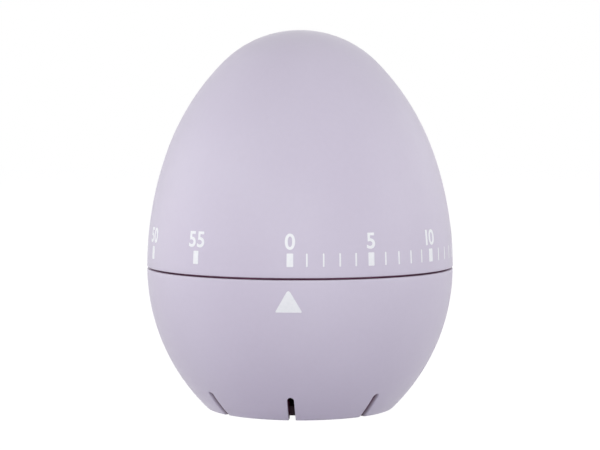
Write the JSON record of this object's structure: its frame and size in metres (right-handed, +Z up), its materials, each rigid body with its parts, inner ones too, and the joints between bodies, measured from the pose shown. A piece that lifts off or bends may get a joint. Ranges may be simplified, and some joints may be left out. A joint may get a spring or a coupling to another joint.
{
  "type": "kitchen timer",
  "caption": "Egg-shaped wind-up kitchen timer: the upper half turns as a printed minute dial against a pointer on the standing base, and a bell inside rings at zero.",
  "frame": {"origin": "centre of the foot, on the surface the timer stands on", "axes": "+Z up along the egg's axis, which the dial turns about; -Y faces the pointer"},
  "size_m": [0.06, 0.06, 0.074],
  "materials": {
    "lavender_plastic": "soft-touch matt",
    "dark_plastic": "fine grain",
    "brass": "punched and deburred",
    "plate_steel": "rolled sheet",
    "arbor_steel": "turned",
    "spring_steel": "blued",
    "bell_metal": "nickel plated",
    "white_print": "pad-printed ink"
  },
  "bodies": {
    "base": {"base_shell": "lavender_plastic", "bottom_cover": "dark_plastic", "cover_screws": "arbor_steel", "movement_screws": "arbor_steel", "lower_plate": "plate_steel", "upper_plate": "plate_steel", "pillars": "brass", "plate_screws": "arbor_steel", "mainspring": "spring_steel", "spring_post": "arbor_steel", "bell": "bell_metal", "bell_post": "arbor_steel", "bell_screw": "arbor_steel", "release_stud": "arbor_steel", "stop_stud": "arbor_steel", "hammer_spring": "spring_steel", "release_spring": "spring_steel"},
    "dial": {"dial_cap": "lavender_plastic", "dial_carrier": "dark_plastic", "carrier_screws": "arbor_steel", "main_arbor": "arbor_steel", "great_wheel": "brass", "strike_cam": "arbor_steel"},
    "second": {"second_arbor": "arbor_steel", "second_wheel": "brass", "clutch_washer": "spring_steel", "clutch_collar": "brass"},
    "third": {"third_arbor": "arbor_steel", "third_wheel": "brass"},
    "escape": {"escape_arbor": "arbor_steel", "escape_wheel": "brass"},
    "pallet": {"pallet_arbor": "arbor_steel", "pallet_lever": "arbor_steel", "pallet_pins": "arbor_steel", "balance_bar": "brass"},
    "strike": {"strike_arbor": "arbor_steel", "strike_wheel": "brass"},
    "star": {"star_arbor": "arbor_steel", "star_wheel": "brass"},
    "hammer": {"hammer_arbor": "arbor_steel", "hammer_pallet": "arbor_steel", "hammer_arm": "arbor_steel", "hammer_head": "brass", "hammer_lock": "arbor_steel"},
    "release": {"release_lever": "arbor_steel"}
  },
  "joints": [
    {"name": "dial_turn", "type": "hinge", "parent": "base", "child": "dial", "pos_m": [0, 0, 0.0277], "axis": [0, 0, -1], "range_deg": [0, 353.33], "deforming": ["mainspring"]},
    {"name": "second_turn", "type": "hinge", "parent": "base", "child": "second", "pos_m": [0.01316, 0.00479, 0.019], "axis": [0, 0, -1], "continuous": true},
    {"name": "third_turn", "type": "hinge", "parent": "base", "child": "third", "pos_m": [0.00668, 0.01343, 0.019], "axis": [0, 0, -1], "continuous": true},
    {"name": "escape_turn", "type": "hinge", "parent": "base", "child": "escape", "pos_m": [-0.00127, 0.01645, 0.019], "axis": [0, 0, -1], "continuous": true},
    {"name": "strike_turn", "type": "hinge", "parent": "base", "child": "strike", "pos_m": [0.00362, -0.01352, 0.019], "axis": [0, 0, -1], "continuous": true},
    {"name": "star_turn", "type": "hinge", "parent": "base", "child": "star", "pos_m": [-0.00444, -0.01589, 0.019], "axis": [0, 0, -1], "continuous": true},
    {"name": "pallet_swing", "type": "hinge", "parent": "base", "child": "pallet", "pos_m": [-0.00736, 0.01532, 0.019], "axis": [0, 0, 1], "range_deg": [-6, 6]},
    {"name": "release_swing", "type": "hinge", "parent": "base", "child": "release", "pos_m": [-0.0141, -0.00513, 0.019], "axis": [0, 0, 1], "range_deg": [-5, 0]},
    {"name": "hammer_swing", "type": "hinge", "parent": "base", "child": "hammer", "pos_m": [-0.01059, -0.01355, 0.019], "axis": [0, 0, 1], "range_deg": [0, 6]}
  ],
  "couplings": [
    {"joint": "second_turn", "follows": "dial_turn", "ratio": -9},
    {"joint": "third_turn", "follows": "dial_turn", "ratio": 72},
    {"joint": "escape_turn", "follows": "dial_turn", "ratio": -540},
    {"joint": "strike_turn", "follows": "dial_turn", "ratio": -9},
    {"joint": "star_turn", "follows": "dial_turn", "ratio": 54},
    {"joint": "hammer_swing", "follows": "release_swing", "ratio": -1.2}
  ]
}
